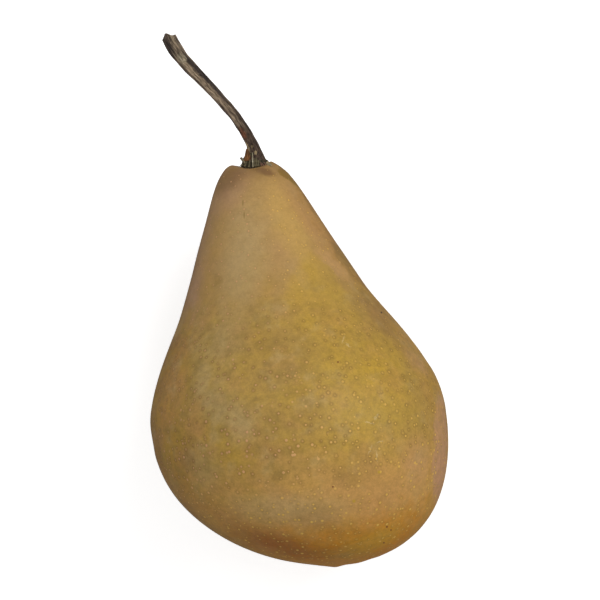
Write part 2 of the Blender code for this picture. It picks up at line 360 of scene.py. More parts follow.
def finished(name, solid, material, nodes=(), sharp_angle=60.0):
    """The solid as a piece of the object: its normals outward, smooth-shaded, riding on the one body."""
    face_outward(solid)
    mesh = bpy.data.meshes.new(name)
    solid.to_mesh(mesh)
    solid.free()
    mesh.shade_smooth()
    mesh.set_sharp_from_angle(angle=math.radians(sharp_angle))
    mesh.materials.append(material)
    piece = bpy.data.objects.new(name, mesh)
    bpy.context.scene.collection.objects.link(piece)
    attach(piece, "root")
    if nodes:
        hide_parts(*nodes)
    return piece


# Node helpers. A value is linked when it is a socket and set when it is a number, a colour or a vector.


def feed(tree, socket, value):
    if isinstance(value, bpy.types.NodeSocket):
        tree.links.new(value, socket)
    else:
        socket.default_value = value


def add(tree, kind, inputs=(), **settings):
    made = tree.nodes.new(kind)
    for name, value in settings.items():
        setattr(made, name, value)
    for key, value in dict(inputs).items():
        feed(tree, made.inputs[key], value)
    return made


def maths(tree, operation, first, second=0.0):
    return add(tree, "ShaderNodeMath", {0: first, 1: second}, operation=operation).outputs[0]


def vectors(tree, operation, first, second=(0.0, 0.0, 0.0)):
    return add(tree, "ShaderNodeVectorMath", {0: first, 1: second}, operation=operation).outputs[0]


def scaled(tree, vector, scale):
    return add(tree, "ShaderNodeVectorMath", {0: vector, "Scale": scale}, operation="SCALE").outputs[0]


def fade(tree, value, start, end, low=0.0, high=1.0):
    """Low at start and high at end, with a smooth step between them."""
    ends = {"Value": value, "From Min": start, "From Max": end, "To Min": low, "To Max": high}
    return add(tree, "ShaderNodeMapRange", ends, interpolation_type="SMOOTHSTEP").outputs[0]


def product(tree, first, second):
    return maths(tree, "MULTIPLY", first, second)


def mixed(tree, share, under, over):
    """The colour under where the share is 0 and over where it is 1."""
    return add(tree, "ShaderNodeMix", {0: share, 6: under, 7: over}, data_type="RGBA").outputs[2]


def noise_node(tree, place, size, detail, roughness):
    scale = maths(tree, "DIVIDE", 1.0, size)
    sockets = {"Vector": place, "Scale": scale, "Detail": detail, "Roughness": roughness}
    return add(tree, "ShaderNodeTexNoise", sockets, noise_dimensions="3D")


def millimetres(tree):
    """Places on the piece, counted in millimetres."""
    return scaled(tree, add(tree, "ShaderNodeTexCoord").outputs["Object"], 1 / MM)


def attribute(tree, name):
    return add(tree, "ShaderNodeAttribute", attribute_name=name).outputs["Vector"]


def new_group(name, inputs, outputs):
    """An empty shader node group with named sockets: its tree, what it is given and what it puts out."""
    tree = bpy.data.node_groups.new(name, "ShaderNodeTree")
    for socket, (kind, value) in inputs.items():
        made = tree.interface.new_socket(socket, in_out="INPUT", socket_type=f"NodeSocket{kind}")
        made.default_value = value
    for socket, kind in outputs.items():
        tree.interface.new_socket(socket, in_out="OUTPUT", socket_type=f"NodeSocket{kind}")
    return tree, tree.nodes.new("NodeGroupInput").outputs, tree.nodes.new("NodeGroupOutput").inputs


def use_group(tree, group, inputs):
    made = add(tree, "ShaderNodeGroup", node_tree=group)
    for key, value in inputs.items():
        feed(tree, made.inputs[key], value)
    return made.outputs


def clouds_group():
    """Soft-edged clouds: where a noise of the given size passes from Low to High."""
    tree, given, out = new_group(
        "soft_clouds",
        {
            "Place": ("Vector", (0, 0, 0)),
            "Shift": ("Vector", (0, 0, 0)),
            "Size": ("Float", 5.0),
            "Low": ("Float", 0.45),
            "High": ("Float", 0.6),
        },
        {"Mask": "Float"},
    )
    place = vectors(tree, "ADD", given["Place"], given["Shift"])
    cloud = noise_node(tree, place, given["Size"], 3.0, 0.55)
    feed(tree, out["Mask"], fade(tree, cloud.outputs[0], given["Low"], given["High"]))
    return tree


def patch_group():
    """A mark at one place: 1 inside an oval, 0 outside it, with an edge of the given softness."""
    tree, given, out = new_group(
        "placed_patch",
        {
            "Place": ("Vector", (0, 0, 0)),
            "Centre": ("Vector", (0, 0, 0)),
            "Radii": ("Vector", (1, 1, 1)),
            "Lean": ("Float", 0.0),
            "Edge": ("Float", 0.3),
        },
        {"Mask": "Float"},
    )
    offset = vectors(tree, "SUBTRACT", given["Place"], given["Centre"])
    turn = maths(tree, "RADIANS", product(tree, given["Lean"], -1.0))
    sockets = {"Vector": offset, "Angle": turn}
    offset = add(tree, "ShaderNodeVectorRotate", sockets, rotation_type="Z_AXIS").outputs[0]
    share = vectors(tree, "DIVIDE", offset, given["Radii"])
    away = add(tree, "ShaderNodeVectorMath", {0: share}, operation="LENGTH").outputs["Value"]
    outer = maths(tree, "ADD", 1.0, given["Edge"])
    inner = maths(tree, "SUBTRACT", 1.0, given["Edge"])
    feed(tree, out["Mask"], fade(tree, away, outer, inner))
    return tree


def dots_group():
    """Round dots of an even size on a surface, each with a halo, scattered a few to each cell.

    The cells fill space. Each holds one point, and where that point is close to the surface a dot is drawn
    right outward of it, so that dots are round and of the same size wherever the cells are cut.
    """
    tree, given, out = new_group(
        "scattered_dots",
        {
            "Place": ("Vector", (0, 0, 0)),
            "Outward": ("Vector", (0, 0, 1)),
            "Cell": ("Float", 2.0),
            "Radius": ("Float", 0.25),
            "Halo": ("Float", 0.8),
            "Reach": ("Float", 0.5),
            "Share": ("Float", 1.0),
        },
        {"Dot": "Float", "Halo": "Float", "Random": "Float"},
    )
    scale = maths(tree, "DIVIDE", 1.0, given["Cell"])
    sockets = {"Vector": given["Place"], "Scale": scale}
    cells = add(tree, "ShaderNodeTexVoronoi", sockets, voronoi_dimensions="3D").outputs
    offset = vectors(tree, "SUBTRACT", given["Place"], cells["Position"])
    sockets = {0: offset, 1: given["Outward"]}
    depth = add(tree, "ShaderNodeVectorMath", sockets, operation="DOT_PRODUCT").outputs["Value"]
    flat = vectors(tree, "SUBTRACT", offset, scaled(tree, given["Outward"], depth))
    away = add(tree, "ShaderNodeVectorMath", {0: flat}, operation="LENGTH").outputs["Value"]
    chance = add(tree, "ShaderNodeSeparateColor", {0: cells["Color"]}).outputs
    near = maths(tree, "LESS_THAN", maths(tree, "ABSOLUTE", depth), given["Reach"])
    kept = product(tree, near, maths(tree, "LESS_THAN", chance[0], given["Share"]))
    radius = product(tree, given["Radius"], fade(tree, chance[1], 0.0, 1.0, 0.65, 1.3))
    dot = fade(tree, away, product(tree, radius, 1.25), product(tree, radius, 0.5))
    halo = fade(tree, away, given["Halo"], radius)
    feed(tree, out["Dot"], product(tree, dot, kept))
    feed(tree, out["Halo"], product(tree, halo, kept))
    feed(tree, out["Random"], chance[2])
    return tree


def fibres_group():
    """Long fine fibres along a piece, from its own straightened coordinates."""
    tree, given, out = new_group(
        "long_fibres",
        {
            "Grain": ("Vector", (0, 0, 0)),
            "Width": ("Float", 0.4),
            "Length": ("Float", 6.0),
            "Low": ("Float", 0.35),
            "High": ("Float", 0.65),
        },
        {"Fibre": "Float"},
    )
    shortened = maths(tree, "DIVIDE", 1.0, given["Length"])
    shrink = add(tree, "ShaderNodeCombineXYZ", {0: 1.0, 1: 1.0, 2: shortened}).outputs[0]
    place = vectors(tree, "MULTIPLY", given["Grain"], shrink)
    fibre = noise_node(tree, place, given["Width"], 4.0, 0.6)
    feed(tree, out["Fibre"], fade(tree, fibre.outputs[0], given["Low"], given["High"]))
    return tree


def new_material(name, roughness, specular):
    material = bpy.data.materials.new(name)
    material.use_nodes = True
    surface = material.node_tree.nodes["Principled BSDF"]
    surface.inputs["Roughness"].default_value = roughness
    surface.inputs["Specular IOR Level"].default_value = specular
    return material, material.node_tree, surface


def relief(tree, surface, height, distance):
    """A bump of this height pattern, its full depth given in metres."""
    bump = add(tree, "ShaderNodeBump", {"Height": height, "Distance": distance, "Strength": 1.0})
    feed(tree, surface.inputs["Normal"], bump.outputs[0])


# Marks at one place each on the skin, some its own colour and some painted shade, painted shadow or painted
# sheen: centre and radii in mm, lean from the long axis in degrees, edge, colour and strength.
SKIN_MARKS = [
    # Partly painted sheen: a pale haze down the neck's left middle, where the soft reflection of the light
    # lies.
    ((-5.3, 41.3, 45.3), (5.0, 12.0, 12.0), -15.5, 0.7, PALE_HAZE_AND_SHEEN, 0.5),
    ((6.7, 46.2, 41.8), (3.4, 10.5, 12.0), 14.5, 0.6, NECK_GOLD, 0.7),
    ((12.8, 43.5, 38.0), (2.2, 11.7, 12.0), 23.9, 0.5, PINK_TAN, 0.4),
    ((6.8, 32.5, 49.0), (2.8, 7.0, 9.0), -37.5, 0.4, YELLOW_GOLD, 0.35),
    ((12.2, 32.4, 46.5), (2.8, 8.2, 9.0), 25.0, 0.3, YELLOW_GOLD, 0.4),
    ((9.4, 25.5, 51.5), (7.0, 8.5, 10.0), -10.5, 0.5, YELLOW_GOLD, 0.4),
    ((17.8, 36.4, 37.0), (1.2, 4.1, 9.0), 24.5, 0.5, DARK_OLIVE, 0.45),
    ((15.4, 34.7, 40.9), (1.2, 5.6, 9.0), 36.5, 0.35, PALE_PINK, 0.5),
    ((16.1, 5.7, 62.2), (11.5, 17.0, 16.0), -10.5, 0.7, YELLOW_GOLD, 0.7),
    ((8.6, 57.4, 32.0), (0.9, 3.7, 8.0), 36.5, 0.25, SHOULDER_OLIVE, 0.9),
    ((-5.6, 57.9, 35.0), (3.3, 5.6, 8.0), -34.5, 0.9, LIMB_MAUVE, 0.7),
    # Painted shade: darker brown on the left shoulder and round the stem's foot, where shade falls by the
    # stem.
    ((-5.6, 59.6, 34.0), (2.4, 4.0, 8.0), -54.5, 0.9, PAINTED_SHADE_BROWN, 0.65),
    ((-0.5, 61.0, 33.0), (8.5, 3.4, 8.0), 0.0, 0.9, PAINTED_SHADE_BROWN, 0.4),
    # Painted shadow: the stem's shadow on the skin, a thin dark smear beside its foot.
    ((3.5, 59.6, 34.6), (0.8, 2.2, 5.0), 62.5, 0.6, PAINTED_SHADE_BROWN, 0.75),
    # Partly painted sheen: the pale haze on the left of the waist.
    ((-15.3, 22.0, 52.9), (5.5, 7.8, 12.0), -10.5, 0.7, PALE_HAZE_AND_SHEEN, 0.4),
    # Painted shade: a grey-brown band along the right flank near the rim.
    ((22.8, 21.8, 43.5), (1.4, 8.8, 10.0), 25.0, 0.5, GREY_BROWN, 0.6),
    ((29.6, 9.6, 45.0), (1.2, 3.7, 9.0), 29.5, 0.5, RUSSET_PINK, 0.5),
    ((31.6, -11.3, 46.0), (2.0, 14.8, 14.0), -12.5, 0.2, RUSSET_PINK, 0.85),
    ((-18.4, 35.0, 39.7), (1.5, 4.5, 8.0), -33.3, 0.5, LIMB_MAUVE, 0.6),
    ((-26.4, 14.6, 47.8), (2.1, 10.4, 9.0), -25.5, 0.6, PINK_TAN, 0.45),
    # Painted sheen: pale patches on the left of the belly that stand in for the soft reflection of the
    # light.
    ((-12.7, 3.3, 63.8), (3.2, 4.1, 6.0), -10.5, 0.7, PALE_HAZE_AND_SHEEN, 0.6),
    ((-17.5, 11.5, 59.0), (3.6, 6.5, 7.0), 14.5, 0.7, PALE_HAZE_AND_SHEEN, 0.5),
    ((-24.0, 2.0, 57.5), (2.6, 8.0, 7.0), -10.5, 0.7, PINK_TAN, 0.25),
    ((14.7, -16.4, 61.0), (8.3, 6.9, 12.0), -10.5, 0.7, PINK_TAN, 0.4),
    ((9.0, -12.5, 63.0), (3.4, 2.4, 7.0), -30.0, 0.9, GREY_BROWN, 0.45),
    ((20.5, 6.0, 56.5), (5.0, 7.5, 12.0), 10.0, 0.8, YELLOW_GOLD, 0.4),
    ((25.0, -13.0, 54.0), (3.0, 5.0, 9.0), -20.0, 0.8, RUSSET_PINK, 0.35),
    ((13.5, -9.5, 63.0), (2.6, 3.4, 7.0), 50.0, 0.9, GREY_BROWN, 0.35),
    ((-7.8, -16.8, 61.5), (3.2, 12.5, 10.0), 79.5, 0.7, PALE_HAZE_AND_SHEEN, 0.5),
    ((0.5, -20.7, 61.5), (5.0, 3.0, 12.0), -10.5, 0.6, GREY_BROWN, 0.3),
    ((-20.6, -15.8, 54.6), (2.2, 6.5, 9.0), 51.5, 0.6, RED_BROWN, 0.2),
    ((-22.5, -5.0, 57.5), (3.0, 5.0, 7.0), -10.5, 0.8, PALE_HAZE_AND_SHEEN, 0.35),
    ((3.9, 6.0, 66.0), (3.5, 5.0, 6.0), -10.5, 0.8, SHOULDER_OLIVE, 0.3),
    ((-9.6, -25.2, 53.0), (2.8, 10.0, 8.0), 64.5, 0.8, RED_BROWN, 0.65),
    ((-9.6, -27.0, 50.0), (2.4, 11.0, 8.0), 64.5, 0.8, RED_BROWN, 0.4),
    ((3.1, -30.2, 51.0), (1.8, 5.7, 7.0), -100.5, 0.6, RED_BROWN, 0.4),
    ((10.9, -29.5, 51.6), (2.75, 8.0, 7.0), -78.5, 0.6, YELLOW_GOLD, 0.5),
    ((-14.5, 10.0, 60.9), (1.2, 1.2, 4.0), 0.0, 0.6, DARK_OLIVE, 0.4),
    ((-6.0, -9.1, 65.5), (1.4, 1.4, 4.0), 0.0, 0.6, DARK_OLIVE, 0.4),
    ((-11.3, -2.9, 64.9), (1.4, 1.4, 4.0), 0.0, 0.6, DARK_OLIVE, 0.4),
    ((-26.3, -2.4, 54.6), (2.1, 2.1, 4.0), 0.0, 0.7, GREY_BROWN, 0.6),
    ((-11.9, 36.4, 44.8), (0.9, 1.2, 4.0), 0.0, 0.6, DARK_OLIVE, 0.35),
]
# Thin pale scuffs, in the same terms.
SKIN_SCUFFS = [
    ((13.8, 17.9, 55.8), (0.15, 0.9, 3.0), -25.0, 0.5, SCUFF, 0.35),
    ((14.6, 16.6, 56.4), (0.16, 0.8, 3.0), 40.0, 0.5, SCUFF, 0.35),
    ((16.3, -1.6, 62.9), (0.16, 1.2, 3.0), 60.0, 0.5, SCUFF, 0.4),
    ((18.0, -0.6, 62.2), (0.16, 0.8, 3.0), -40.0, 0.5, SCUFF, 0.4),
    ((15.2, -7.6, 63.2), (0.16, 1.1, 3.0), -30.0, 0.5, SCUFF, 0.4),
    ((17.7, -6.3, 62.0), (0.16, 0.7, 3.0), 80.0, 0.5, SCUFF, 0.4),
    ((16.4, -9.4, 62.4), (0.22, 1.2, 3.0), -10.0, 0.5, SCUFF, 0.4),
]
# Small marks with a clean edge, in the same terms.
SKIN_SPECKS = [
    ((-3.2, 53.3, 39.6), (0.16, 0.7, 2.0), -10.5, 0.4, DARK_OLIVE, 0.6),
    ((-3.4, 50.4, 41.0), (0.16, 0.9, 2.0), -10.5, 0.4, DARK_OLIVE, 0.6),
    ((23.9, 22.3, 40.0), (0.23, 0.23, 2.0), 0.0, 0.3, SPECK_DARK, 0.9),
    ((11.7, 13.2, 59.9), (0.20, 0.20, 2.0), 0.0, 0.3, SPECK_RED, 0.8),
    ((5.4, -14.2, 64.5), (0.20, 0.20, 2.0), 0.0, 0.3, SPECK_RED, 0.8),
    ((15.9, -26.1, 53.8), (0.23, 0.23, 2.0), 0.0, 0.3, SPECK_RED, 0.8),
    ((16.7, -27.1, 52.2), (0.20, 0.20, 2.0), 0.0, 0.3, SPECK_RED, 0.8),
    ((14.6, -29.9, 49.5), (0.23, 0.23, 2.0), 0.0, 0.3, SPECK_RED, 0.8),
    ((16.3, -13.0, 61.5), (0.34, 0.34, 2.0), 0.0, 0.4, YELLOW_GOLD, 0.8),
    ((9.5, -18.4, 61.9), (0.38, 0.38, 2.0), 0.0, 0.4, YELLOW_GOLD, 0.8),
]
# Marks on the stem, in the same terms but on the straightened stem: across, over and along from its root.
STEM_MARKS = [
    ((0.0, 0.0, 3.5), (3.4, 3.4, 9.0), 0.0, 0.35, WOOD_UMBER, 0.85),
    ((0.95, 1.0, 27.0), (0.6, 1.4, 7.5), 0.0, 0.3, WOOD_DARK, 0.9),
    ((1.4, 0.7, 14.0), (0.9, 1.6, 5.5), 0.0, 0.4, WOOD_UMBER, 0.85),
    ((-1.1, 0.9, 37.5), (1.1, 1.5, 3.8), 0.0, 0.4, WOOD_DARK, 0.7),
    ((0.6, 1.5, 36.5), (0.7, 1.2, 3.5), 0.0, 0.4, WOOD_TAN, 0.7),
    ((0.0, 1.7, 32.8), (0.8, 0.8, 1.3), 0.0, 0.4, WOOD_PALE, 0.9),
    ((-0.6, 1.1, 9.8), (0.6, 0.8, 1.5), 0.0, 0.4, WOOD_RED, 0.7),
    ((-1.1, 1.2, 6.0), (0.25, 0.8, 1.8), 0.0, 0.4, FLAKE_TAN, 0.6),
    ((-0.15, 1.6, 5.9), (0.3, 0.8, 0.3), 0.0, 0.4, FLAKE_TAN, 0.8),
    ((0.2, 1.7, 4.3), (0.36, 0.8, 0.36), 0.0, 0.4, FLAKE_TAN, 0.8),
]

# Where the skin's ground changes, counted along the fruit from the stem end in mm.
NECK_TO_BELLY = (18.0, 44.0)
BELLY_TO_BASE = (65.0, 78.0)
BASE_TO_BLOSSOM = (80.0, 92.0)
LEFT_LIMB_TURN = (28.0, 42.0)
NECK_RIM_END = (30.0, 48.0)
ROUGH_BELLY = (22.0, 48.0)
# Where it changes sideways: 0 on top and underneath, 1 at the far right, -1 at the far left.
LEFT_LIMB = (-0.7, -0.96)
# The shaded rims: where painted shade darkens the skin at its edges.
LEFT_SHADED_RIM = (-0.9, -1.0)
RIGHT_LIMB = (0.8, 0.97)
RIGHT_SHADED_RIM = (0.86, 1.0)

# Cloudy mottles over the whole skin: shift, size and low end of the noise, strength and colour.
SKIN_MOTTLES = [
    ((31, 7, 12), 10.0, 0.4, 0.3, GREY_GREEN),
    ((3, 51, 22), 8.0, 0.42, 0.4, YELLOW_GOLD),
    ((13, 17, 42), 7.0, 0.45, 0.35, PINK_TAN),
    ((61, 4, 9), 5.5, 0.5, 0.4, PALE_HAZE_AND_SHEEN),
    ((0, 0, 0), 3.0, 0.4, 0.36, DARK_OLIVE),
    ((9, 5, 2), 1.4, 0.4, 0.18, GREY_BROWN),
]
MARBLE_SIZE = 1.1
GRAIN_SIZE = 0.4
SKIN_RELIEF = 0.03 * MM

# The pale dots, in mm. They are larger on the belly than on the neck.
DOT_CELL = 1.8
DOT_RADII = (0.18, 0.27)
DOT_HALO = 0.8
DOT_REACH = 0.6

# Dried wood: how wide its fibres are and how much longer than wide.
FINE_FIBRES = {"Width": 0.24, "Length": 7.0}
BROAD_FIBRES = {"Width": 0.8, "Length": 8.0, "Low": 0.35, "High": 0.6}
WOOD_CRACKS = {"Width": 0.45, "Length": 9.0, "Low": 0.53, "High": 0.62}
WOOD_RELIEF = 0.10 * MM


def lightened(tree, colour, shade):
    """The colour made lighter or darker by a factor."""
    factors = add(tree, "ShaderNodeCombineXYZ", {0: shade, 1: shade, 2: shade}).outputs[0]
    return vectors(tree, "MULTIPLY", colour, factors)


def speckled(tree, colour, pattern, strength):
    """The colour made lighter and darker, by up to the strength, as a noise rises and falls."""
    swing = fade(tree, pattern, 0.25, 0.75, -1.0, 1.0)
    return lightened(tree, colour, maths(tree, "ADD", 1.0, product(tree, swing, strength)))


def with_marks(tree, colour, patch, marks, place):
    for centre, radii, lean, edge, mark, strength in marks:
        inputs = {"Place": place, "Centre": centre, "Radii": radii, "Lean": lean, "Edge": edge}
        mask = use_group(tree, patch, inputs)["Mask"]
        colour = mixed(tree, product(tree, mask, strength), colour, mark)
    return colour


def wandering(tree, place, size, reach):
    """The place moved about by a noise, which makes an even edge ragged."""
    wander = noise_node(tree, place, size, 3.0, 0.6).outputs["Color"]
    wander = vectors(tree, "SUBTRACT", wander, (0.5, 0.5, 0.5))
    return vectors(tree, "ADD", place, scaled(tree, wander, reach))


def skin_ground(tree, right, along):
    """The skin's main colours: tan neck, olive belly, golden base and other colours far left and right,
    with painted shade that darkens the left rim and the neck's right rim.
    """
    colour = mixed(tree, fade(tree, along, *NECK_TO_BELLY), NECK_TAN, OLIVE_GOLD)
    colour = mixed(tree, fade(tree, along, *BELLY_TO_BASE), colour, BASE_GOLD)
    colour = mixed(tree, fade(tree, along, *BASE_TO_BLOSSOM), colour, BASE_BROWN)
    left_limb = mixed(tree, fade(tree, along, *LEFT_LIMB_TURN), LIMB_MAUVE, LEFT_TAN)
    colour = mixed(tree, fade(tree, right, *LEFT_LIMB, 0.0, 0.65), colour, left_limb)
    colour = mixed(tree, fade(tree, right, *RIGHT_LIMB, 0.0, 0.6), colour, RIGHT_GOLD)
    # Painted shade: the rims are darkened where the skin turns away from the light.
    colour = mixed(tree, fade(tree, right, *LEFT_SHADED_RIM, 0.0, 0.4), colour, PAINTED_SHADE_BROWN)
    neck_only = fade(tree, along, *NECK_RIM_END, 1.0, 0.0)
    neck_rim_shade = product(tree, fade(tree, right, *RIGHT_SHADED_RIM, 0.0, 0.5), neck_only)
    return mixed(tree, neck_rim_shade, colour, PAINTED_SHADE_BROWN)


def with_mottles(tree, colour, clouds, place, strength):
    for shift, size, low, share, mottle in SKIN_MOTTLES:
        inputs = {"Place": place, "Shift": shift, "Size": size, "Low": low, "High": 0.73}
        mask = product(tree, use_group(tree, clouds, inputs)["Mask"], share)
        colour = mixed(tree, product(tree, mask, strength), colour, mottle)
    return colour


def with_dots(tree, colour, patterns, place, right, along, belly):
    """The colour with pale dots in darker rings, and the dots' own mask."""
    sockets = {
        "Place": place,
        "Outward": attribute(tree, "outward"),
        "Cell": DOT_CELL,
        "Radius": fade(tree, along, 20.0, 60.0, *DOT_RADII),
        "Halo": DOT_HALO,
        "Reach": DOT_REACH,
        "Share": fade(tree, along, 20.0, 50.0, 0.8, 0.95),
    }
    dots = use_group(tree, patterns["dots"], sockets)
    ring = product(tree, dots["Halo"], fade(tree, belly, 0.0, 1.0, 0.1, 0.46))
    ring = product(tree, ring, fade(tree, along, 66.0, 80.0, 1.0, 0.45))
    sockets = {"Place": place, "Shift": (5, 15, 25), "Size": 5.0, "Low": 0.3, "High": 0.6}
    ringed = use_group(tree, patterns["clouds"], sockets)["Mask"]
    colour = mixed(tree, product(tree, ring, ringed), colour, DOT_RING)
    golden = maths(tree, "MAXIMUM", fade(tree, right, -0.3, 0.5), fade(tree, along, 66.0, 82.0))
    dot_colour = mixed(tree, golden, DOT_PINK, DOT_GOLD)
    strength = fade(tree, dots["Random"], 0.0, 1.0, 0.3, 0.8)
    strength = product(tree, strength, fade(tree, along, 52.0, 74.0, 0.9, 1.5))
    strength = product(tree, strength, fade(tree, along, 20.0, 40.0, 1.4, 1.0))
    return mixed(tree, product(tree, dots["Dot"], strength), colour, dot_colour), dots["Dot"]


def skin_material(patterns):
    """Olive and golden ground under thin tan russet, with cloudy mottles, placed marks and pale dots, and
    painted shade at the rims; some placed marks are painted shade, shadow and sheen.
    """
    material, tree, surface = new_material("pear_skin", 0.5, 0.3)
    place = millimetres(tree)
    ragged_place = wandering(tree, place, 3.0, 2.6)
    around = add(tree, "ShaderNodeSeparateXYZ", {0: attribute(tree, "skin_place")}).outputs
    moved = vectors(tree, "SUBTRACT", ragged_place, place)
    sideways = add(tree, "ShaderNodeSeparateXYZ", {0: moved}).outputs
    right = maths(tree, "ADD", around[0], product(tree, sideways[0], 0.12))
    along = maths(tree, "ADD", around[2], product(tree, sideways[1], 4.0))
    belly = fade(tree, along, *ROUGH_BELLY)

    colour = skin_ground(tree, right, along)
    # The placed marks: the skin's own colours, with painted shade, a painted shadow of the stem and painted
    # sheen among them.
    colour = with_marks(tree, colour, patterns["patch"], SKIN_MARKS, ragged_place)
    mottled = fade(tree, belly, 0.0, 0.6, 0.35, 1.0)
    mottled = product(tree, mottled, fade(tree, along, 62.0, 80.0, 1.0, 0.45))
    mottled = product(tree, mottled, fade(tree, right, 0.0, 0.4, 1.0, 0.75))
    colour = with_mottles(tree, colour, patterns["clouds"], place, mottled)
    colour = with_marks(tree, colour, patterns["patch"], SKIN_SCUFFS, wandering(tree, place, 0.9, 1.6))

    marble = noise_node(tree, place, MARBLE_SIZE, 3.0, 0.6).outputs[0]
    colour = speckled(tree, colour, marble, fade(tree, belly, 0.0, 1.0, 0.05, 0.09))
    grain = noise_node(tree, place, GRAIN_SIZE, 2.0, 0.6).outputs[0]
    colour = speckled(tree, colour, grain, fade(tree, belly, 0.0, 1.0, 0.05, 0.08))
    colour, dots = with_dots(tree, colour, patterns, place, around[0], around[2], belly)
    colour = with_marks(tree, colour, patterns["patch"], SKIN_SPECKS, place)

    feed(tree, surface.inputs["Base Color"], colour)
    feed(tree, surface.inputs["Roughness"], fade(tree, grain, 0.2, 0.8, 0.42, 0.54))
    relief(tree, surface, maths(tree, "ADD", product(tree, grain, 0.35), dots), SKIN_RELIEF)
    return material


def wood_material(name, patterns, dark, light, marks=()):
    """Dried wood: fibres from dark to light along the piece, and marks at their own places on it."""
    material, tree, surface = new_material(name, 0.8, 0.3)
    grain = attribute(tree, "grain")
    fine, broad, cracks = (
        use_group(tree, patterns["fibres"], {"Grain": grain, **fibres})["Fibre"]
        for fibres in (FINE_FIBRES, BROAD_FIBRES, WOOD_CRACKS)
    )
    colour = mixed(tree, broad, dark, light)
    colour = with_marks(tree, colour, patterns["patch"], marks, wandering(tree, grain, 0.8, 0.8))
    colour = lightened(tree, colour, fade(tree, fine, 0.0, 1.0, 0.58, 1.36))
    colour = lightened(tree, colour, fade(tree, cracks, 0.0, 1.0, 1.0, 0.45))
    feed(tree, surface.inputs["Base Color"], colour)
    height = maths(tree, "SUBTRACT", maths(tree, "ADD", fine, broad), cracks)
    relief(tree, surface, height, WOOD_RELIEF)
    return material


def fruit_outline():
    points = in_metres(NECK_OUTLINE)
    for step in range(BASE_STEPS + 1):
        turn = BASE_TURN * step / BASE_STEPS
        points.append(Vector((BELLY_RADIUS * math.cos(turn), BELLY_AT + BASE_HEIGHT * math.sin(turn))))
    points += [point + Vector((0.0, BELLY_AT)) for point in in_metres(BASIN_OUTLINE)]
    return curve_through(points, SKIN_SPLIT)


def axis_height(along):
    return AXIS_HEIGHT - NECK_DROOP * (BELLY_AT - along)


STEM_END = Vector((0.0, BELLY_AT, axis_height(0.0)))


def section_middle(along):
    """How far right of the axis a section's middle lies."""
    sway = sum(far * MM * math.exp(-(((along / MM - at) / reach) ** 2)) for at, reach, far in SWAYS)
    rise = min(max((along - BELLY_START) / (BELLY_AT - BELLY_START), 0.0), 1.0)
    rise = rise * rise * (3 - 2 * rise)
    lean = BASE_LEAN * (max(along - BELLY_AT, 0.0) / BELLY_RADIUS) ** 2
    return NECK_MIDDLE + sway + (BELLY_MIDDLE - NECK_MIDDLE) * rise + lean


def fruit_skin(turned_point):
    """Where a point of the turned outline lies on the grown fruit.

    The angle is 0 on top and grows to the right.
    """
    x, z, along = turned_point
    middle = section_middle(along)
    radius = math.hypot(x, z)
    angle = math.atan2(x, z)
    if along < BELLY_AT:
        x += DIMPLE_SHIFT * max(0.0, 1.0 - radius / DIMPLE_REACH)
        along += STEM_END_TILT * x * math.exp(-((radius / STEM_END_REACH) ** 2))
        along += STEM_END_SAG * (z / SAG_REACH) ** 2 * math.exp(-((radius / SAG_REACH) ** 2))
    else:
        rim = math.exp(-(((radius - LOBE_RADIUS) / LOBE_REACH) ** 2))
        tall = 1.0 - LOBE_BIAS + LOBE_BIAS * math.cos(angle - TALLEST_LOBE)
        along += LOBE_HEIGHT * rim * tall * math.cos(LOBES * (angle - LOBE_PHASE))
        along -= BLOSSOM_TILT * x * math.exp(-((radius / BLOSSOM_REACH) ** 2))
    return Vector((x + middle, BELLY_AT - along, axis_height(along) + z * OVAL))


def dent_depth(point):
    """How far a place on the skin lies below its smooth form."""
    return SKIN_SET_IN + sum(depth * (0.5 + 0.5 * noise.noise(point / size)) for size, depth in DENTS)


def make_fruit(material):
    """The fine skin of the whole fruit.

    The attribute skin_place says how far right and over a place is, from -1 to 1, and how far along in mm.
    The attribute outward keeps the smooth form's normal.
    """
    solid = turned(fruit_outline(), SKIN_SIDES)
    skin_place = solid.verts.layers.float_vector.new("skin_place")
    outward = solid.verts.layers.float_vector.new("outward")
    for vert in solid.verts:
        angle = math.atan2(vert.co.x, vert.co.y)
        vert[skin_place] = (math.sin(angle), math.cos(angle), vert.co.z / MM)
        vert.co = fruit_skin(vert.co)
    face_outward(solid)
    solid.normal_update()
    for vert in solid.verts:
        vert[outward] = vert.normal
        vert.co = vert.co - dent_depth(vert.co) * vert.normal
        vert.co.z = max(vert.co.z, 0.0)
    return finished("fruit_skin", solid, material, ["fruit"])


def bend_tube(solid, line, above, skin):
    """Moves a tube's rings onto a line, as skin(index, angle, share) says for each place of a ring.

    The attribute grain keeps the straightened place of each vertex in mm: across, over and along.
    """
    grain = solid.verts.layers.float_vector.new("grain")
    travelled = [0.0]
    for start, end in zip(line, line[1:]):
        travelled.append(travelled[-1] + (end - start).length / MM)
    for vert in solid.verts:
        x, y, height = vert.co
        index = round(height)
        forward = (line[min(index + 1, len(line) - 1)] - line[max(index - 1, 0)]).normalized()
        side = forward.cross(above).normalized()
        up = side.cross(forward)
        share = math.hypot(x, y)
        across, over, ahead = skin(index, math.atan2(y, x), share)
        vert[grain] = (share * across / MM, share * over / MM, travelled[index] + ahead / MM)
        vert.co = line[index] + share * (across * side + over * up) + ahead * forward


def knots_height(past_end, angle):
    """How far the knots and burrs lift the stem's skin at a place."""
    height = 0.0
    for knot_at, knot_angle, knot_height, width in STEM_KNOTS:
        turn = math.remainder(angle - math.radians(knot_angle), 2 * math.pi)
        away = ((past_end / MM - knot_at) / width) ** 2 + (turn / KNOT_SPREAD) ** 2
        height += knot_height * MM * math.exp(-away)
    return height


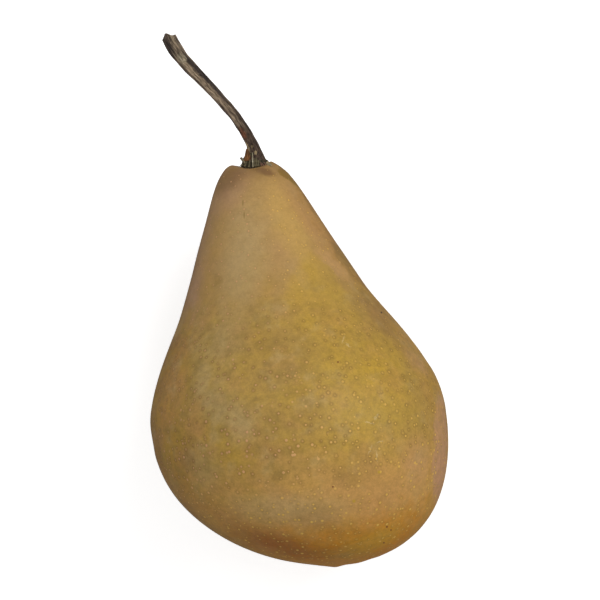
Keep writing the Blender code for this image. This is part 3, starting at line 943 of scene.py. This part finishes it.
def make_stem(material):
    places = [Vector((*point, radius)) * MM for point, radius in zip(STEM_LINE, STEM_RADII)]
    places = curve_through(places, STEM_SPLIT)
    line = [STEM_END + place.to_3d() for place in places]

    def skin(index, angle, share):
        past_end = places[index].y
        collar = math.exp(-(((past_end - COLLAR_AT) / COLLAR_REACH) ** 2))
        ridge_angle = STEM_RIDGES * angle + STEM_TWIST * past_end / MM
        ridges = (1.0 - collar) * STEM_RIDGE_DEPTH * math.cos(ridge_angle)
        lumps = collar * COLLAR_LUMP_DEPTH * math.cos(COLLAR_LUMPS * angle)
        radius = places[index][3] * (1.0 + ridges + lumps) + knots_height(past_end, angle)
        grain = Vector((4.0 * math.cos(angle), 4.0 * math.sin(angle), past_end / MM / FIBRE_LENGTH))
        radius -= FIBRE_DEPTH * (0.5 + 0.5 * noise.noise(grain * 2.0))
        around = Vector((math.cos(angle), math.sin(angle), past_end / DENT_SIZE))
        radius -= DENT_DEPTH * (DENT_SHIFT + 0.5 * noise.noise(around)) * (1.0 - collar)
        broken = 0.0
        end = index - (len(line) - 1 - STEM_SPLIT // 2)
        if end > 0:
            reach = share * math.cos(angle)
            torn = TIP_KNOB * math.exp(-(((reach - TIP_KNOB_AT) / TIP_KNOB_WIDTH) ** 2)) - TIP_CHIP
            broken = (torn - TIP_SET_IN) * end / (STEM_SPLIT // 2) - FIBRE_DEPTH * (1.0 - share) * 4.0
        return radius * math.cos(angle), radius * math.sin(angle), broken

    solid = tube(len(line), STEM_SIDES)
    bend_tube(solid, line, UP, skin)
    return finished("stem_wood", solid, material, ["stem"], 70.0)


def make_collar(material):
    """The stem's fleshy collar, in strips that run up from the dimple onto the wood."""
    places = [Vector((*point, width)) * MM for point, width in zip(COLLAR_LINE, COLLAR_HALF_WIDTHS)]
    places = curve_through(places, COLLAR_SPLIT)
    heights = curve_through([Vector((height, 0.0)) * MM for height in COLLAR_HALF_HEIGHTS], COLLAR_SPLIT)
    line = [STEM_END + place.to_3d() for place in places]

    def skin(index, angle, share):
        wander = 0.5 * noise.noise(Vector((2.0 * math.cos(angle), 2.0 * math.sin(angle), index * 0.1)))
        strip_angle = COLLAR_STRIPS * (angle + 0.3 * wander)
        strips = 1.0 - COLLAR_STRIP_DEPTH * (0.5 + 0.5 * math.cos(strip_angle))
        strips -= COLLAR_LUMPINESS * abs(wander)
        half_width, half_height = places[index][3], heights[index].x
        return half_width * strips * math.cos(angle), half_height * strips * math.sin(angle), 0.0

    solid = tube(len(line), COLLAR_SIDES)
    bend_tube(solid, line, UP, skin)
    return finished("stem_collar", solid, material)


def bract_solid(bract):
    """A flat peg that tapers from its root to its tip."""
    root, tip, half_width, half_thickness, taper = bract
    start, end = (STEM_END + point for point in in_metres((root, tip)))
    line = [start.lerp(end, ring / (BRACT_RINGS - 1)) for ring in range(BRACT_RINGS)]

    def skin(index, angle, share):
        slim = 1.0 - taper * (index / (BRACT_RINGS - 1)) ** 1.5
        across = half_width * MM * slim * math.cos(angle)
        return across, half_thickness * MM * max(slim, 0.7) * math.sin(angle), 0.0

    solid = tube(BRACT_RINGS, BRACT_SIDES)
    bend_tube(solid, line, UP, skin)
    return solid


def make_sepal(number):
    """One sepal of a calyx that looks up along +Z."""
    rows = zip(SEPAL_LINE, SEPAL_HALF_WIDTHS)
    places = [Vector((out, 0.0, rise, half)) * MM for (out, rise), half in rows]
    places = curve_through(places, SEPAL_SPLIT)
    line = [place.to_3d() for place in places]

    def skin(index, angle, share):
        wave = SEPAL_WAVE * noise.noise(Vector((number * 7.0, 2.0 * math.sin(angle), index * 0.3)))
        return SEPAL_HALF_THICKNESS * math.cos(angle) + wave, places[index][3] * math.sin(angle), 0.0

    solid = tube(len(line), SEPAL_SIDES)
    bend_tube(solid, line, Vector((0, 1, 0)), skin)
    turn = Matrix.Rotation(2 * math.pi * number / SEPALS, 3, "Z")
    bmesh.ops.rotate(solid, cent=(0, 0, 0), matrix=turn, verts=solid.verts)
    return solid


def make_stamen(number):
    """A dried stamen of the same calyx: a thin bent thread with a knob at its tip."""
    turn = 2 * math.pi * number / STAMENS
    foot = Vector((math.cos(turn), math.sin(turn), 0.0)) * STAMEN_FOOT_OUT + STAMEN_FOOT_UP * UP
    lean = Vector((math.cos(turn * 1.7), math.sin(turn * 1.7), 0.0)) * STAMEN_LEAN
    rise = STAMEN_RISE + STAMEN_RISE_RANGE * math.sin(number * 2.3)
    bend = foot + 0.3 * lean + rise * UP
    tip = foot + lean + 1.7 * rise * UP
    line = curve_through([foot, bend, tip], STAMEN_SPLIT)

    def skin(index, angle, share):
        radius = STAMEN_KNOB_RADIUS if index >= len(line) - 2 else STAMEN_RADIUS
        return radius * math.cos(angle), radius * math.sin(angle), 0.0

    solid = tube(len(line), STAMEN_SIDES)
    bend_tube(solid, line, Vector((0.3, 1.0, 0.1)), skin)
    return solid


def joined(solids):
    """Several solids as one."""
    whole = bmesh.new()
    whole.verts.layers.float_vector.new("grain")
    for solid in solids:
        face_outward(solid)
        part = bpy.data.meshes.new("part")
        solid.to_mesh(part)
        solid.free()
        whole.from_mesh(part)
        bpy.data.meshes.remove(part)
    return whole


def make_calyx(material):
    """The cup with its sepals and stamens, turned to look out of the basin."""
    cup = turned(in_metres(CUP_OUTLINE), CUP_SIDES)
    grain = cup.verts.layers.float_vector.new("grain")
    for vert in cup.verts:
        vert[grain] = vert.co / MM
    sepals = [make_sepal(number) for number in range(SEPALS)]
    stamens = [make_stamen(number) for number in range(STAMENS)]
    calyx = joined([cup, *sepals, *stamens])
    upright_to_level = Matrix.Rotation(math.radians(90.0), 3, "X")
    bmesh.ops.rotate(calyx, cent=(0, 0, 0), matrix=upright_to_level, verts=calyx.verts)
    basin_floor = BELLY_AT + BASIN_OUTLINE[-1][1] * MM
    place = (CALYX_MIDDLE, BELLY_AT - basin_floor - CALYX_GAP, axis_height(basin_floor))
    bmesh.ops.translate(calyx, vec=place, verts=calyx.verts)
    return finished("calyx_sepals", calyx, material, ["calyx"])


def make_camera():
    view = bpy.data.cameras.new("overhead_camera")
    view.lens = CAMERA_LENS
    view.sensor_width = SENSOR_WIDTH
    camera = bpy.data.objects.new("overhead_camera", view)
    camera.location = (*CAMERA_OVER, AXIS_HEIGHT + CAMERA_DISTANCE)
    camera.rotation_euler = (0.0, 0.0, CAMERA_ROLL)
    bpy.context.scene.collection.objects.link(camera)
    bpy.context.scene.camera = camera


def make_softbox(name, place, power, colour):
    """A square soft light that faces the fruit."""
    light = bpy.data.lights.new(name, "AREA")
    light.shape = "SQUARE"
    light.size = SOFTBOX_SIZE
    light.energy = power
    light.color = colour
    softbox = bpy.data.objects.new(name, light)
    softbox.location = place
    softbox.rotation_euler = (LIT_PLACE - Vector(place)).to_track_quat("-Z", "Y").to_euler()
    bpy.context.scene.collection.objects.link(softbox)


def make_studio():
    """A white floor, a pale surround and soft lights."""
    world = bpy.data.worlds.new("pale_surround")
    world.use_nodes = True
    surround = world.node_tree.nodes["Background"]
    surround.inputs["Color"].default_value = (1.0, 1.0, 1.0, 1.0)
    surround.inputs["Strength"].default_value = SURROUND_STRENGTH
    bpy.context.scene.world = world
    for softbox in SOFTBOXES:
        make_softbox(*softbox)

    solid = bmesh.new()
    bmesh.ops.create_grid(solid, x_segments=1, y_segments=1, size=FLOOR_HALF_WIDTH)
    mesh = bpy.data.meshes.new("studio_floor")
    solid.to_mesh(mesh)
    solid.free()
    material, tree, surface = new_material("white_floor", 0.9, 0.2)
    seen = add(tree, "ShaderNodeLightPath").outputs["Is Camera Ray"]
    feed(tree, surface.inputs["Base Color"], mixed(tree, seen, FLOOR_BOUNCE, FLOOR_SEEN))
    feed(tree, surface.inputs["Emission Color"], mixed(tree, seen, (0, 0, 0, 1), (1, 1, 1, 1)))
    surface.inputs["Emission Strength"].default_value = FLOOR_GLOW
    mesh.materials.append(material)
    floor = bpy.data.objects.new("studio_floor", mesh)
    bpy.context.scene.collection.objects.link(floor)
    bpy.context.scene.view_settings.view_transform = "Standard"


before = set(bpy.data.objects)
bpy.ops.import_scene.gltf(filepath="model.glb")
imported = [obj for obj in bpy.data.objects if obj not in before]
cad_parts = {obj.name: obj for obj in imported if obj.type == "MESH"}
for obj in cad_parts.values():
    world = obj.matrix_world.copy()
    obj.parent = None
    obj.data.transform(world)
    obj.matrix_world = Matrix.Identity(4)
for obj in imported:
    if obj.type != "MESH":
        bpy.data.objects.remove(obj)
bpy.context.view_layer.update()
make_camera()
make_studio()

patterns = {
    "clouds": clouds_group(),
    "patch": patch_group(),
    "dots": dots_group(),
    "fibres": fibres_group(),
}
make_fruit(skin_material(patterns))
make_stem(wood_material("stem_wood", patterns, WOOD_BROWN, WOOD_TAN, STEM_MARKS))
make_collar(wood_material("collar_flesh", patterns, COLLAR_DARK, COLLAR_OLIVE))
orange_bract = wood_material("dry_bract", patterns, BRACT_BROWN, BRACT_ORANGE)
finished("bract_scale_dry", bract_solid(BRACT_SCALE), orange_bract, ["bract_scale"])
grey_bract = wood_material("grey_bract", patterns, WOOD_GREY, BRACT_GREY)
finished("bract_stub_dry", bract_solid(BRACT_STUB), grey_bract, ["bract_stub"])
for name, scales, dark, light in [
    ("green_scales", GREEN_SCALES, COLLAR_OLIVE, SCALE_GREEN),
    ("pale_scales", PALE_SCALES, BRACT_GREY, BRACT_PALE),
    ("pink_flecks", PINK_FLECKS, FLECK_BROWN, FLECK_PINK),
    ("tan_flakes", TAN_FLAKES, BRACT_GREY, FLAKE_TAN),
]:
    solid = joined([bract_solid(scale) for scale in scales])
    finished(name, solid, wood_material(f"{name}_dry", patterns, dark, light))
make_calyx(wood_material("dry_calyx", patterns, CALYX_DARK, CALYX_TAN))
